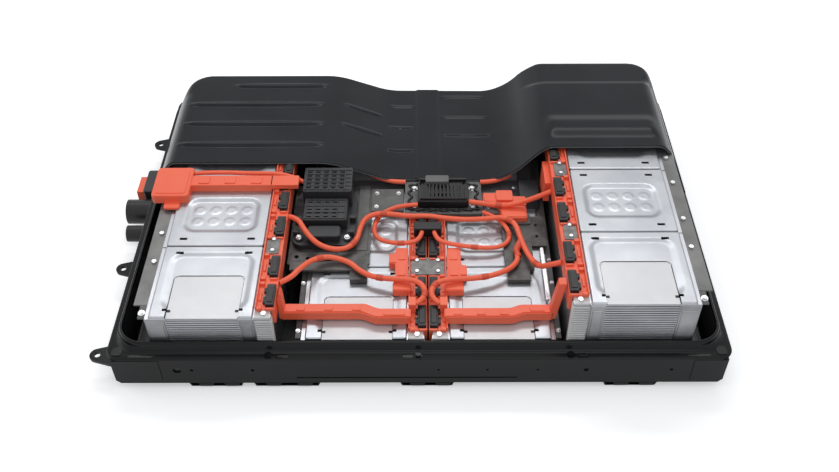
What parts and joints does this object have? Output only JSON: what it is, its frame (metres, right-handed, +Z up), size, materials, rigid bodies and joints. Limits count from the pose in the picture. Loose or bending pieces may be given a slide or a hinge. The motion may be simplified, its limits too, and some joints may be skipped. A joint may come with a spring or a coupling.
{
  "type": "ev battery pack",
  "caption": "Cut-away traction battery pack: steel tray, finned pouch-cell modules under pressed lids, orange high-voltage cables and a sawn-open cover.",
  "frame": {"origin": "on the floor under the middle of the whole pack, connectors included", "axes": "+X along the pack's long side, away from the connectors; +Y from the front rail to the rear rail under the cover; +Z up"},
  "size_m": [1.584, 1.045, 0.282],
  "materials": {
    "bracket_steel": "grey phosphate steel",
    "cell_aluminium": "satin rolled aluminium",
    "cover_paint": "satin black paint",
    "dark_plastic": "satin charcoal plastic",
    "frame_paint": "satin black paint",
    "lid_aluminium": "bright satin pressed aluminium",
    "orange_cable": "matte orange sheath",
    "orange_plastic": "satin moulded orange plastic",
    "zinc_steel": "bright zinc"
  },
  "bodies": {
    "root": {"bolts_and_screws": "zinc_steel", "centre_connector": "dark_plastic", "centre_left_cell_stack_1": "cell_aluminium", "centre_left_cell_stack_2": "cell_aluminium", "centre_left_cell_stack_3": "cell_aluminium", "centre_left_module_lids": "lid_aluminium", "centre_left_terminal_caps": "dark_plastic", "centre_left_terminal_strip": "orange_plastic", "centre_right_cell_stack_1": "cell_aluminium", "centre_right_cell_stack_2": "cell_aluminium", "centre_right_cell_stack_3": "cell_aluminium", "centre_right_module_lids": "lid_aluminium", "centre_right_terminal_caps": "dark_plastic", "centre_right_terminal_strip": "orange_plastic", "contactor_housing": "dark_plastic", "controller_housing": "dark_plastic", "cover": "cover_paint", "cross_members": "frame_paint", "front_left_busbar_cover": "orange_plastic", "front_mounting_ear": "frame_paint", "front_right_busbar_cover": "orange_plastic", "front_side_rail": "frame_paint", "fuse_housing": "dark_plastic", "left_bracket": "bracket_steel", "left_cell_stack_1": "cell_aluminium", "left_cell_stack_2": "cell_aluminium", "left_cell_stack_3": "cell_aluminium", "left_cell_stack_4": "cell_aluminium", "left_front_cable": "orange_cable", "left_module_lids": "lid_aluminium", "left_rear_cable": "orange_cable", "left_terminal_caps": "dark_plastic", "left_terminal_strip": "orange_plastic", "left_upper_cable": "orange_cable", "link_plates": "bracket_steel", "main_crossing_cable": "orange_cable", "middle_mounting_ear": "frame_paint", "rear_busbar_cover": "orange_plastic", "rear_mounting_ear": "frame_paint", "rear_side_rail": "frame_paint", "right_bracket": "bracket_steel", "right_cell_stack_1": "cell_aluminium", "right_cell_stack_2": "cell_aluminium", "right_cell_stack_3": "cell_aluminium", "right_cell_stack_4": "cell_aluminium", "right_front_cable": "orange_cable", "right_module_lids": "lid_aluminium", "right_rear_cable": "orange_cable", "right_terminal_caps": "dark_plastic", "right_terminal_strip": "orange_plastic", "right_upper_cable": "orange_cable", "riser_busbar_cover": "orange_plastic", "round_connectors": "dark_plastic", "service_plate": "bracket_steel", "service_socket": "dark_plastic", "side_clamps": "bracket_steel", "side_connector_housing": "dark_plastic", "side_terminal_shroud": "orange_plastic", "top_left_busbar_cover": "orange_plastic", "tray": "frame_paint"}
  },
  "joints": []
}
